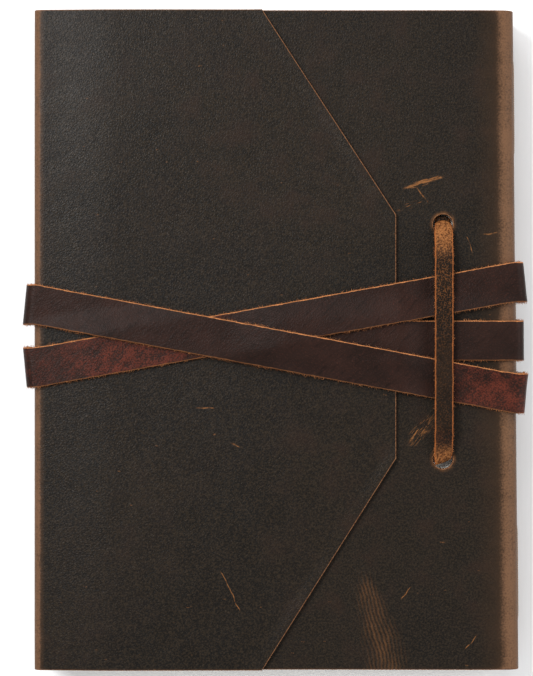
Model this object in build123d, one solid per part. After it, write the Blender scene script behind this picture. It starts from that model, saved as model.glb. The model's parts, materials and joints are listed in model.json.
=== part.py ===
from build123d import *
import os
from math import hypot

# Leather wrap sketchbook, closed, lying on its back cover. Millimetres.
# +X runs to the spine, +Y to the head, +Z up. The origin is on the table, under the middle of the book.

# --- paper
sheet_width = 148.0
sheet_height = 210.0
signature_count = 8
signature_pitch = 2.4          # thickness of one folded bundle of leaves, with the air above it
leaf_gap = 0.1                 # that air
opening_signature = 5          # the book falls open after this one

# --- hide
leather = 1.8
head_margin = 3.0              # hide beyond the sheets at head and tail
fore_edge_air = 6.0            # sheets to the fore-edge panel
cover_edge_air = 3.2           # front cover's free edge to the fore-edge panel
fold_gap = 0.4                 # folds of the signatures to the spine
block_gap = 0.3                # first signature to the back cover
spine_corner_radius = 3.8
split_gap = 0.1                # between the two halves of the spine
fold_clearance = 0.1           # round fold edge to the next panel
lay_gap = 0.1                  # between layers that lie on each other

# --- flap
flap_reach = 118.4             # fore edge to the tip
flap_taper = 43.8              # length of the slanted sides along X
tip_top = 40.9
tip_bottom = -38.6

# --- wrap strap: one long strap, wound round the book
strap_width = 13.0
strap_thickness = 1.8
strap_ramp = 4.0               # length over which a run climbs or drops one layer
fixed_end_x = 5.0              # where the strap is sewn to the flap
fixed_end_y = -0.2
rising_run = (-9.0, 19.0)      # Y of each run's centre at the left and right edges
falling_run = (11.6, -17.5)
tail_end_x = -10.0
tail_gap = 2.1                 # between the tail's end and the first back run beside it

# --- keeper: the loop that the wraps pass under
keeper_width = 6.0
keeper_thickness = 1.4
keeper_offset = 15.4           # beyond the flap's tip
keeper_hole_radius = 3.25
keeper_hole_top = 37.9
keeper_hole_bottom = -38.9
keeper_leg_width = 4.4
keeper_air = 0.3               # over the straps that pass under it
keeper_shoulder = 10.0         # length of the slope down to each hole
keeper_leg_reach = 1.3         # leg's outer face beyond the hole's centre
keeper_inner_air = 0.1         # inner run below the cover

# --- thread
thread = 0.6
needle_hole = 0.8
sewing_stations = ((-95.0, -58.0), (-20.0, 20.0), (58.0, 95.0))
end_stitch_length = 3.0
end_stitch_pitch = 5.0
end_stitch_inset = 2.5
join_stitch_length = 6.0

# --- places worked out from the sizes above
half_width = (sheet_width + fore_edge_air + fold_gap + 2 * leather) / 2
half_height = sheet_height / 2 + head_margin
spine_inner = half_width - leather
panel_inner = -half_width + leather
fold_x = spine_inner - fold_gap
sheet_edge = fold_x - sheet_width
corner_x = -half_width + leather / 2
cover_edge = panel_inner + cover_edge_air
tip_x = -half_width + flap_reach
keeper_x = tip_x + keeper_offset

back_bottom = strap_thickness
back_top = back_bottom + leather
block_bottom = back_top + block_gap
block_top = block_bottom + signature_count * signature_pitch
hinge_z = block_bottom + opening_signature * signature_pitch
cover_bottom = block_top + keeper_inner_air + keeper_thickness + thread + lay_gap
cover_top = cover_bottom + leather
flap_bottom = cover_top + lay_gap
flap_top = flap_bottom + leather
lower_fold_z = back_bottom + leather / 2
upper_fold_z = flap_bottom + leather / 2

side_gap = thread + lay_gap
strap_inner = half_width + side_gap
strap_outer = strap_inner + strap_thickness
layer = strap_thickness + lay_gap
keeper_under = cover_top + 2 * layer + keeper_air
reach = 4 * half_height        # longer than anything that is cut


def block(x0, x1, y0, y1, z0, z1):
    """A box between two corners."""
    centre = ((x0 + x1) / 2, (y0 + y1) / 2, (z0 + z1) / 2)
    return Pos(*centre) * Box(x1 - x0, y1 - y0, z1 - z0)


def side_prism(points, half_length):
    """An outline of (x, z) points, carried along Y to both sides."""
    outline = make_face(Polyline(*[(x, 0, z) for x, z in points], close=True))
    return extrude(outline, half_length, dir=(0, 1, 0), both=True)


def plan_prism(points, z0, z1):
    """An outline of (x, y) points, carried from z0 up to z1."""
    outline = make_face(Polyline(*[(x, y, z0) for x, y in points], close=True))
    return extrude(outline, z1 - z0, dir=(0, 0, 1))


def rod_along_y(x, z, radius, half_length):
    """A round bar along Y."""
    return Pos(x, 0, z) * Rot(90, 0, 0) * Cylinder(radius, 2 * half_length)


def needle_holes(rows):
    """Square holes through the spine, one at each end of each long stitch."""
    half = needle_hole / 2
    holes = [
        block(spine_inner - leather, half_width + leather, y - half, y + half, z - half, z + half)
        for z in rows
        for stations in sewing_stations
        for y in stations
    ]
    return Part() + holes


def row_heights(first, last):
    """Z of the sewing rows of signatures first to last."""
    middle = (signature_pitch - leaf_gap) / 2
    return [block_bottom + (n - 1) * signature_pitch + middle for n in range(first, last + 1)]


back_rows = row_heights(1, opening_signature)
front_rows = row_heights(opening_signature + 1, signature_count)


def bent_cover(edge_x, outer_z, inner_z, split_z):
    """A flat cover whose spine side turns round a corner and ends at split_z."""
    way = 1 if split_z > outer_z else -1
    inner_radius = spine_corner_radius - leather
    centre_x = half_width - spine_corner_radius
    centre_z = outer_z + way * spine_corner_radius
    arc_outer = CenterArc((0, 0), spine_corner_radius, 0, 90)
    arc_inner = CenterArc((0, 0), inner_radius, 0, 90)
    ends = [
        Line(arc_outer @ 0, arc_inner @ 0),
        Line(arc_outer @ 1, arc_inner @ 1),
    ]
    quarter = make_face([arc_outer, arc_inner, *ends])
    ring = extrude(quarter, 2 * half_height)
    # sketch X stays X, sketch Y points at the cover's outer face, and the length runs along Y
    turned = Plane(origin=(centre_x, way * -half_height, centre_z), x_dir=(1, 0, 0), z_dir=(0, way, 0))
    flat = block(edge_x, centre_x, -half_height, half_height, min(outer_z, inner_z), max(outer_z, inner_z))
    low, high = sorted((centre_z, split_z))
    wall = block(spine_inner, half_width, -half_height, half_height, low, high)
    return flat + turned.location * ring + wall


def back_cover():
    """The part of the hide under the paper, with the lower half of the spine and a round fore-edge fold."""
    hide = bent_cover(corner_x, back_bottom, back_top, hinge_z - split_gap / 2)
    hide += rod_along_y(corner_x, lower_fold_z, leather / 2, half_height)
    return hide - needle_holes(back_rows)


def front_cover():
    """The part of the hide over the paper, with the upper half of the spine and the keeper's two holes."""
    hide = bent_cover(cover_edge, cover_top, cover_bottom, hinge_z + split_gap / 2)
    for y in (keeper_hole_top, keeper_hole_bottom):
        hide -= Pos(keeper_x, y, cover_top) * Cylinder(keeper_hole_radius, 4 * leather)
    return hide - needle_holes(front_rows)


def fore_edge_panel():
    """The part of the hide that closes the fore edge."""
    clear = leather / 2 + fold_clearance
    return block(
        -half_width, panel_inner, -half_height, half_height, lower_fold_z + clear, upper_fold_z - clear
    )


def flap():
    """The tapered flap that folds over the front cover, with the stitch holes of the strap's fixed end."""
    shoulder = tip_x - flap_taper
    outline = [
        (corner_x, half_height),
        (shoulder, half_height),
        (tip_x, tip_top),
        (tip_x, tip_bottom),
        (shoulder, -half_height),
        (corner_x, -half_height),
    ]
    hide = plan_prism(outline, flap_bottom, flap_top)
    hide += rod_along_y(corner_x, upper_fold_z, leather / 2, half_height)
    return hide - end_stitch_holes()


def signature(number):
    """A bundle of leaves folded together, round at its fold."""
    z0 = block_bottom + (number - 1) * signature_pitch
    z1 = z0 + signature_pitch - leaf_gap
    radius = (z1 - z0) / 2
    leaves = block(sheet_edge, fold_x - radius, -sheet_height / 2, sheet_height / 2, z0, z1)
    return leaves + rod_along_y(fold_x - radius, z0 + radius, radius, sheet_height / 2)


def sewing_thread(rows):
    """Long stitches on the outside of the spine, each with a leg through the hide at both ends."""
    half = thread / 2
    stitches = []
    for z in rows:
        for y0, y1 in sewing_stations:
            stitch = block(half_width, half_width + thread, y0 - half, y1 + half, z - half, z + half)
            for y in (y0, y1):
                stitch += block(
                    spine_inner - lay_gap, half_width, y - half, y + half, z - half, z + half
                )
            stitches.append(stitch)
    return stitches


# --- the wrap strap


def line_y(run, x):
    """Y of a run's centre line at x, from its values at the left and right edges."""
    left, right = run
    return left + (right - left) * (x + strap_outer) / (2 * strap_outer)


def width_along_y(run):
    """The strap's width measured along Y, which grows with its slant."""
    rise, length = run[1] - run[0], 2 * strap_outer
    return strap_width * hypot(rise, length) / length


fixed_run = (fixed_end_y, fixed_end_y)


def shared_span(run, other, start):
    """The stretch of X, from start on, where two runs cover the same ground."""
    touch = (width_along_y(run) + width_along_y(other)) / 2
    gap_left = line_y(run, -strap_outer) - line_y(other, -strap_outer)
    gap_right = line_y(run, strap_outer) - line_y(other, strap_outer)
    slope = (gap_right - gap_left) / (2 * strap_outer)
    crossings = sorted((side * touch - gap_left) / slope - strap_outer for side in (-1, 1))
    return max(crossings[0], start), min(crossings[1], strap_outer)


def step(x, span):
    """0 outside a span of X, 1 inside it, with a ramp before and after."""
    low, high = span
    if low <= x <= high:
        return 1.0
    away = low - x if x < low else x - high
    return max(0.0, 1.0 - away / strap_ramp)


on_flap = (-2 * strap_outer, tip_x + lay_gap)
over_fixed_rising = shared_span(rising_run, fixed_run, fixed_end_x)
over_fixed_falling = shared_span(falling_run, fixed_run, fixed_end_x)
over_rising = shared_span(falling_run, rising_run, -strap_outer)


def run_height(x, spans):
    """Z of a run's underside at x: on the cover or the flap, and a layer up for each run below it."""
    ground = cover_top + lay_gap + (flap_top - cover_top) * step(x, on_flap)
    return ground + layer * sum(step(x, span) for span in spans)


def underside(x0, x1, spans):
    """The (x, z) points of a run's underside from x0 to x1."""
    bends = {x0, x1}
    for low, high in [on_flap, *spans]:
        bends |= {low - strap_ramp, low, high, high + strap_ramp}
    return [(x, run_height(x, spans)) for x in sorted(bends) if x0 <= x <= x1]


def front_run(run, spans, left_x):
    """A run over the front with its turn down the spine side, and down the fore edge if it starts there."""
    wraps_left = left_x is None
    low = underside(-strap_inner if wraps_left else left_x, strap_inner, spans)
    high = underside(-strap_outer if wraps_left else left_x, strap_outer, spans)
    foot = strap_thickness
    outline = [(-strap_inner, foot)] if wraps_left else []
    outline += low + [(strap_inner, foot), (strap_outer, foot)]
    outline += [(x, z + strap_thickness) for x, z in reversed(high)]
    if wraps_left:
        outline.append((-strap_outer, foot))
    side = side_prism(outline, reach)
    return side & slanted_band(run, -strap_outer, strap_outer, foot, 2 * flap_top)


def slanted_band(run, x0, x1, z0, z1):
    """The upright slab that a run's two long edges bound."""
    half = width_along_y(run) / 2
    y0, y1 = line_y(run, x0), line_y(run, x1)
    return plan_prism([(x0, y0 - half), (x1, y1 - half), (x1, y1 + half), (x0, y0 + half)], z0, z1)


def back_run(left_y, right_y):
    """A flat run under the back cover, which the closed book lies on."""
    return slanted_band((left_y, right_y), -strap_outer, strap_outer, 0, strap_thickness)


def tail():
    """The strap's last stretch, which ends beside the first back run."""
    end_y = line_y((rising_run[0], fixed_end_y), tail_end_x) - strap_width - tail_gap
    slope = (falling_run[1] - end_y) / (strap_outer - tail_end_x)
    run = (falling_run[1] - slope * 2 * strap_outer, falling_run[1])
    return slanted_band(run, tail_end_x, strap_outer, 0, strap_thickness)


def end_stitch_places():
    """(x, y) of the stitches that hold the strap's fixed end: two rows of three, each stitch along X."""
    rows = (-1, 1)
    first_x = fixed_end_x + end_stitch_inset
    side = strap_width / 2 - end_stitch_inset
    return [(first_x + n * end_stitch_pitch, fixed_end_y + row * side) for row in rows for n in range(3)]


def end_stitch_holes():
    """Needle holes through the flap and the strap's end, and the groove each stitch is sunk in."""
    half, top = needle_hole / 2, flap_top + lay_gap + strap_thickness
    below, above = flap_bottom - leather, top + leather
    cuts = []
    for x, y in end_stitch_places():
        for hole_x in (x, x + end_stitch_length):
            cuts.append(block(hole_x - half, hole_x + half, y - half, y + half, below, above))
        cuts.append(block(x - half, x + end_stitch_length + half, y - half, y + half, top - thread, above))
    return Part() + cuts


def strap_stitching():
    """Sunk stitches, each with two legs down through the strap and the flap."""
    half, top = thread / 2, flap_top + lay_gap + strap_thickness
    stitches = []
    for x, y in end_stitch_places():
        end = x + end_stitch_length
        stitch = block(x - half, end + half, y - half, y + half, top - thread, top)
        for leg_x in (x, end):
            stitch += block(leg_x - half, leg_x + half, y - half, y + half, flap_bottom, top - thread)
        stitches.append(stitch)
    return stitches


# --- the keeper


def keeper_leg_faces(hole_y):
    """Y of a leg's two faces, inside the hole and towards the book's middle."""
    way = 1 if hole_y > 0 else -1
    outer = hole_y + way * keeper_leg_reach
    return sorted((outer, outer - way * keeper_thickness))


def keeper_strap():
    """A closed loop: over the wraps, down through both holes and back along the inside of the cover."""
    bottom_leg = keeper_leg_faces(keeper_hole_bottom)
    top_leg = keeper_leg_faces(keeper_hole_top)
    rest = cover_top + lay_gap
    arch = [
        (bottom_leg[0], rest),
        (bottom_leg[0] + keeper_shoulder, keeper_under),
        (top_leg[1] - keeper_shoulder, keeper_under),
        (top_leg[1], rest),
    ]
    outline = arch + [(y, z + keeper_thickness) for y, z in reversed(arch)]
    face = make_face(Polyline(*[(keeper_x, y, z) for y, z in outline], close=True))
    loop = extrude(face, keeper_width / 2, dir=(1, 0, 0), both=True)
    inner_top = cover_bottom - keeper_inner_air
    half = keeper_leg_width / 2
    foot, head = inner_top - keeper_thickness, rest + keeper_thickness
    for y0, y1 in (bottom_leg, top_leg):
        loop += block(keeper_x - half, keeper_x + half, y0, y1, foot, head)
    return loop + block(
        keeper_x - keeper_width / 2,
        keeper_x + keeper_width / 2,
        bottom_leg[0],
        top_leg[1],
        foot,
        inner_top,
    )


def keeper_stitching():
    """Three stitches across the place where the keeper's two ends meet, on its inner run."""
    top = cover_bottom - keeper_inner_air - keeper_thickness
    middle_y = (keeper_hole_top + keeper_hole_bottom) / 2
    half = join_stitch_length / 2
    places = [keeper_x + n * keeper_width / 3 for n in (-1, 0, 1)]
    return [
        block(x - thread / 2, x + thread / 2, middle_y - half, middle_y + half, top - thread, top)
        for x in places
    ]


os.makedirs("parts", exist_ok=True)

nodes = {
    "back_cover": back_cover(),
    "front_cover": front_cover(),
    "fore_edge_panel": fore_edge_panel(),
    "flap": flap(),
    "sewing_thread_back": sewing_thread(back_rows),
    "sewing_thread_front": sewing_thread(front_rows),
    "strap_fixed_end": front_run(fixed_run, [], fixed_end_x) - end_stitch_holes(),
    "strap_rising_wrap": front_run(rising_run, [over_fixed_rising], None),
    "strap_falling_wrap": front_run(falling_run, [over_fixed_falling, over_rising], None),
    "strap_back_run_1": back_run(rising_run[0], fixed_end_y),
    "strap_back_run_2": back_run(falling_run[0], rising_run[1]),
    "strap_tail": tail(),
    "strap_stitching": strap_stitching(),
    "keeper_strap": keeper_strap(),
    "keeper_stitching": keeper_stitching(),
}
for number in range(1, signature_count + 1):
    nodes[f"signature_{number}"] = signature(number)

for name, shape in nodes.items():
    pieces = shape if isinstance(shape, list) else shape.solids()
    export_step(pieces[0] if len(pieces) == 1 else Compound(children=list(pieces)), f"parts/{name}.step")

print("hinge at x", half_width + side_gap / 2 + thread / 2, "z", hinge_z)
print("folds at x", corner_x, "z", lower_fold_z, upper_fold_z)
print("flap top", flap_top, "cover top", cover_top, "keeper top", keeper_under + keeper_thickness)
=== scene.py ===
# %% [markdown]
# # A leather wrap sketchbook
# The book is one waxed hide folded round eight bundles of paper, a tapered flap that folds over the front,
# a long strap wound three times round it, and a narrow keeper that the strap passes under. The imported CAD
# model gives the places and the hinges. This script makes the surfaces that are seen: leather with a grain
# side, a flesh side and cut edges, folded sheets and twisted thread.

# %% Load the frame
import json
import bpy
import numpy as np
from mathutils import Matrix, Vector


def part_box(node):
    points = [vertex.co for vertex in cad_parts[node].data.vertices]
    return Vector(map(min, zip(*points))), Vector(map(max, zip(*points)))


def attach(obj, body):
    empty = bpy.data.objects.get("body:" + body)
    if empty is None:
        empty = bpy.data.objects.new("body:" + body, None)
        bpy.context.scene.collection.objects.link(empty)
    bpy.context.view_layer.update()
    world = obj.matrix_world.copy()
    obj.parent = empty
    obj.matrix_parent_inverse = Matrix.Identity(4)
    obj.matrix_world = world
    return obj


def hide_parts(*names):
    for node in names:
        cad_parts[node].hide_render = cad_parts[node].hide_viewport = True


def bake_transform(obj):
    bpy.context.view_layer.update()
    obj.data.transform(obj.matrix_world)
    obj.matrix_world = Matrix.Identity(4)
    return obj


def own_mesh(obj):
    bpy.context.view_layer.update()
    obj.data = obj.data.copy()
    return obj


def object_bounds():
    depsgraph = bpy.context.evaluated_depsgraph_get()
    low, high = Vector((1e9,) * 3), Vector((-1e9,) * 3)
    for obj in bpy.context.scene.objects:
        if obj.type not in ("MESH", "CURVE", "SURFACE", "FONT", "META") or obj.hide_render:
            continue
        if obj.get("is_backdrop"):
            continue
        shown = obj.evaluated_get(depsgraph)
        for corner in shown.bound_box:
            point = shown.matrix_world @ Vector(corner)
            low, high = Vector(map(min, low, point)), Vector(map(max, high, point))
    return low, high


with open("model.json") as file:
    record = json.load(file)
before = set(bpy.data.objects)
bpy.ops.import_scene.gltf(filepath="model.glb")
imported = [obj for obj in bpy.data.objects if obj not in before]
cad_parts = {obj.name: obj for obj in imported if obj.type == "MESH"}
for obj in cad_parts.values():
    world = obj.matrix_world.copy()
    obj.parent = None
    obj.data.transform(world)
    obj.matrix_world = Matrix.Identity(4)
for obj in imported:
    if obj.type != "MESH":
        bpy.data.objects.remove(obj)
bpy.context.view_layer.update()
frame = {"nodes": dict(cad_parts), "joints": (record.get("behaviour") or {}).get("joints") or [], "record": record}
mm = 0.001

# %% [markdown]
# ## Sizes
# The boxes of the CAD nodes say where the hide, the strap and the keeper lie, and the joints say where the
# hide folds. A box can't tell everything: the flap's taper, the radius of a fold and a few sizes like them
# are written here as numbers, and they have to change with the CAD source.

# %% Read places from the CAD nodes and joints


def corners(node):
    """The lowest and highest corner of a CAD node, as two arrays in metres."""
    low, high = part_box(node)
    return np.array(low), np.array(high)


back_high = corners("back_cover")[1]
front_low, front_high = corners("front_cover")
panel_low, panel_high = corners("fore_edge_panel")
flap_high = corners("flap")[1]
pivot = {j["name"]: np.array(j["pos_m"]) for j in frame["joints"]}

half_width, half_height = back_high[0], back_high[1]
leather = panel_high[0] - panel_low[0]
tip_x, flap_top = flap_high[0], flap_high[2]
cover_edge, cover_top = front_low[0], front_high[2]
corner_x = pivot["flap_fold"][0]
upper_z, lower_z = pivot["flap_fold"][2], pivot["fore_edge_fold"][2]
hinge_z = pivot["cover_hinge"][2]
cover_z = cover_top - leather / 2
spine_x = half_width - leather / 2

keeper_low, keeper_high = corners("keeper_strap")
keeper_x = (keeper_low[0] + keeper_high[0]) / 2
leg_reach = 1.3 * mm                    # the keeper's legs stand this far beyond their holes' centres
hole_centres = [np.array([keeper_x, y]) for y in (keeper_low[1] + leg_reach, keeper_high[1] - leg_reach)]
spine_bend = 3.8 * mm - leather / 2     # radius of the spine's corners at the middle of the leather
fold_bend = 1.5 * mm                    # the same for the fore-edge folds
flap_taper = 43.8 * mm                  # the flap narrows over this length before its tip
tip_ends = (-38.6 * mm, 40.9 * mm)      # y of the tip's two corners
cut_round = 0.22 * mm                   # how far a cut edge is rounded
print("hide", round(leather / mm, 2), "mm thick, folds at x", round(corner_x / mm, 1))

# %% [markdown]
# ## A strip of leather
# The hide, the strap and the keeper are all cut leather: a flat strip with two faces and a thin raw edge.
# Each is made the same way. A path gives the middle of the leather, and a cross-section is carried along
# it: across one face, round the cut edge, back across the other face and round the second edge. The
# rounding is a superellipse, because a knife leaves an edge that is squarer than a half circle. Beside its
# place, every point keeps where it lies on the strip, how far it is from a cut edge and which face it is
# on, and the finishes read those.

# %% Carry a leather cross-section along a path
edge_steps = 5                          # quads round a cut edge
squareness = 0.6                        # power of the superellipse, where 1 would be a half circle
end_turns = (0.35, 0.7, 0.95)           # shares of a quarter turn at the rows that round an end


def smooth(value, start, end):
    """0 before start, 1 after end, and 3t^2 - 2t^3 between them."""
    t = np.clip((np.asarray(value, float) - start) / (end - start), 0, 1)
    return t * t * (3 - 2 * t)


def unit(rows):
    """Each row divided by its length."""
    return rows / np.linalg.norm(rows, axis=1)[:, None]


def length_along(path):
    """The distance from a path's first point to each of its points, along the path."""
    return np.r_[0, np.cumsum(np.linalg.norm(np.diff(path, axis=0), axis=1))]


def ring_quads(index):
    """Quads between neighbouring rows of point numbers, where each row is a closed ring."""
    here, after = index[..., :-1, :], index[..., 1:, :]
    return np.stack([here, np.roll(here, -1, -1), np.roll(after, -1, -1), after], -1)


def round_end(path, half, thick, way, lip):
    """Three more rows past an end, where the knife cut it. They move out by lip * sin(a)^q while the
    thickness shrinks by cos(a)^q."""
    end, inner = (path[0], path[1]) if way < 0 else (path[-1], path[-2])
    out = (end - inner) / np.linalg.norm(end - inner)
    turn = np.array(end_turns) * np.pi / 2
    rows = end + out * lip * np.sin(turn)[:, None] ** squareness
    share = np.cos(turn) ** squareness
    more = len(end_turns)
    if way < 0:
        wider = np.r_[np.repeat(half[0], more), half]
        return np.vstack([rows[::-1], path]), wider, np.r_[share[::-1], thick]
    wider = np.r_[half, np.repeat(half[-1], more)]
    return np.vstack([path, rows]), wider, np.r_[thick, share]


def strip(path, half, thickness, lines, lip=cut_round, middle=0.0, slant=1.0, raw=(True, True),
          loop=False, across=(0, 1, 0), thin=1.0):
    """Point (row, column) = path + across * (middle + line * (half - lip)) + normal * thickness / 2, where
    the normal is across x tangent. half, lip, middle, slant and thin may change from row to row. slant turns
    a distance along 'across' into a distance square to the cut edge. lines run from -1 to 1, and thin is a
    share of the thickness. A path that is a loop has no ends, and raw says which ends are cut edges."""
    path, across, lines = np.array(path, float), np.array(across, float), np.asarray(lines, float)
    half, lip, middle, slant = (np.broadcast_to(v, len(path)).astype(float)
                                for v in (half, lip, middle, slant))
    thick = np.ones(len(path)) * thin
    extra = [len(end_turns) * (r and not loop) for r in raw]
    for way, cut in zip((-1, 1), raw):
        if cut and not loop:
            path, half, thick = round_end(path, half, thick, way, cut_round)
    lip, middle, slant = (np.pad(v, extra, mode="edge") for v in (lip, middle, slant))
    tangent = unit(np.roll(path, -1, 0) - np.roll(path, 1, 0) if loop else np.gradient(path, axis=0))
    normal = unit(np.cross(across, tangent))
    along = length_along(path)
    turn = np.pi * np.arange(1, edge_steps) / edge_steps
    out, up = np.sin(turn) ** squareness, np.sign(np.cos(turn)) * np.abs(np.cos(turn)) ** squareness
    flat, one = np.zeros_like(lines), np.ones_like(lines)
    line = np.r_[lines, np.ones_like(out), lines[::-1], -np.ones_like(out)]
    bulge = np.r_[flat, out, flat, -out]
    level = np.r_[one, up, -one, up[::-1]]
    side = middle[:, None] + line * (half - lip)[:, None] + bulge * lip[:, None]
    depth = level * thick[:, None] * thickness / 2
    points = path[:, None] + across * side[..., None] + normal[:, None] * depth[..., None]
    place = np.stack([np.broadcast_to(along[:, None], side.shape), side, depth], -1)
    gap = (1 - np.abs(line)) * ((half - lip) * slant)[:, None]
    for cut, from_end in zip(raw, (along - along[extra[0]], along[-1 - extra[1]] - along)):
        if cut and not loop:
            gap = np.minimum(gap, np.maximum(from_end, 0)[:, None])
    flesh = np.broadcast_to((1 - level) / 2, gap.shape)
    return {"points": points, "place": place, "gap": gap, "flesh": flesh, "lines": len(lines),
            "loop": loop, "raw": raw}


def strip_faces(made):
    """Quads between neighbouring rows and columns, and a cap across each open end, all facing outwards."""
    rows, columns = made["gap"].shape
    index = np.arange(rows * columns).reshape(rows, columns)
    quads = ring_quads(np.vstack([index, index[:1]]) if made["loop"] else index)
    caps = []
    if not made["loop"]:
        top = np.arange(made["lines"])
        under = 2 * made["lines"] + edge_steps - 2 - top
        rim = np.arange(made["lines"] - 1, made["lines"] + edge_steps)
        far_rim = np.r_[np.arange(2 * made["lines"] + edge_steps - 2, columns), 0]
        for row, way in ((index[0], -1), (index[-1], 1)):
            across = np.stack([row[top[:-1]], row[top[1:]], row[under[1:]], row[under[:-1]]], -1)
            caps += [f[::way].tolist() for f in (*across, row[rim], row[far_rim])]
    return quads, caps


# %% [markdown]
# ## From arrays to a Blender object
# A finished piece is one mesh at the origin, in the place the CAD gives. Its vertices go in with
# foreach_set, and what the finishes need goes in as attributes. Ends that meet another piece are marked
# sharp, so that the shading runs on across the join.

# %% Make a piece from arrays


def make_piece(name, points, faces, finish, attributes=(), sharp=()):
    """A mesh object from points (n, 3) and a list of faces. sharp is a list of vertex rows whose edges are
    hard."""
    mesh = bpy.data.meshes.new(name)
    mesh.from_pydata(np.reshape(points, (-1, 3)).tolist(), [], faces)
    mesh.polygons.foreach_set("use_smooth", np.ones(len(mesh.polygons), bool))
    for title, values in dict(attributes).items():
        kind = "FLOAT_VECTOR" if np.shape(values)[-1] == 3 and np.ndim(values) > 1 else "FLOAT"
        layer = mesh.attributes.new(title, kind, "POINT")
        layer.data.foreach_set("vector" if kind == "FLOAT_VECTOR" else "value",
                               np.asarray(values, np.float32).ravel())
    if len(sharp):
        ends = np.zeros(2 * len(mesh.edges), np.int32)
        mesh.edges.foreach_get("vertices", ends)
        hard = np.zeros(len(mesh.edges), bool)
        for row in sharp:
            hard |= np.isin(ends.reshape(-1, 2), row).all(1)
        mesh.attributes.new("sharp_edge", "BOOLEAN", "EDGE").data.foreach_set("value", hard)
    mesh.validate()
    mesh.materials.append(finish)
    piece = bpy.data.objects.new(name, mesh)
    bpy.context.scene.collection.objects.link(piece)
    triangles = sum(p.loop_total - 2 for p in mesh.polygons)
    print(f"{name}: {len(mesh.vertices)} vertices, {triangles} triangles")
    return piece


# %% [markdown]
# ## The way a used book settles
# A real cover isn't flat: it rises and dips by a fraction of a millimetre, drops towards its folds, and the
# spine leans a little. One function moves every point of every piece in the same way, so layers that lie on
# each other stay clear of each other.

# %% Bend every layer in the same way
wave = 0.22 * mm                        # height of the cover's slow waves
fold_drop = 1.1 * mm                    # the cover sinks this far at the fore edge, half as far at the spine
spine_lean = 0.9 * mm                   # the spine stands this far out at the tail and in at the head


def settle(points):
    """z rises by slow waves and drops near both folds, by a share that grows from the spine's middle to the
    front cover. x leans outwards at the tail in proportion to y, by a share that grows towards the spine."""
    x, y, z = (points[..., k].copy() for k in range(3))
    share = smooth(z, hinge_z, cover_top - leather)
    hills = np.sin(x / (19 * mm) + 1.1) * np.cos(y / (31 * mm) + 0.4)
    hills = hills + 0.6 * np.sin(x / (33 * mm) - y / (23 * mm))
    drop = smooth(-x, 52 * mm, 80 * mm) + 0.5 * smooth(x, 62 * mm, 80 * mm) ** 2
    moved = points.copy()
    moved[..., 2] = z + share * (wave * hills - fold_drop * drop)
    moved[..., 0] = x - spine_lean * (y / half_height) * smooth(x, 58 * mm, half_width)
    return moved


print("waves of", wave / mm, "mm, folds drop", fold_drop / mm, "mm")

# %% [markdown]
# ## Mixing finishes
# Shader maths reads best as sums. A small class wraps a socket and turns +, -, * and / into Math nodes, and
# one method of the finish makes every other node from its type, its settings and its inputs.

# %% A finish and its values


class Value:
    """A number that changes over a surface. Sums with it add Math nodes."""

    def __init__(self, finish, socket):
        self.finish, self.socket = finish, socket

    def maths(self, operation, *others):
        return self.finish.node("ShaderNodeMath", {"operation": operation}, dict(enumerate(others)))

    def __add__(self, other):
        return self.maths("ADD", self, other)

    def __radd__(self, other):
        return self.maths("ADD", other, self)

    def __sub__(self, other):
        return self.maths("SUBTRACT", self, other)

    def __rsub__(self, other):
        return self.maths("SUBTRACT", other, self)

    def __mul__(self, other):
        return self.maths("MULTIPLY", self, other)

    def __rmul__(self, other):
        return self.maths("MULTIPLY", other, self)

    def __truediv__(self, other):
        return self.maths("DIVIDE", self, other)

    def high(self, other):
        """The higher of two values."""
        return self.maths("MAXIMUM", self, other)

    def low(self, other):
        """The lower of two values."""
        return self.maths("MINIMUM", self, other)

    def rise(self, start, end):
        """0 at start and 1 at end, eased at both."""
        return self.finish.node("ShaderNodeMapRange", {"interpolation_type": "SMOOTHSTEP"},
                                {"Value": self, "From Min": start, "From Max": end})


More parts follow.
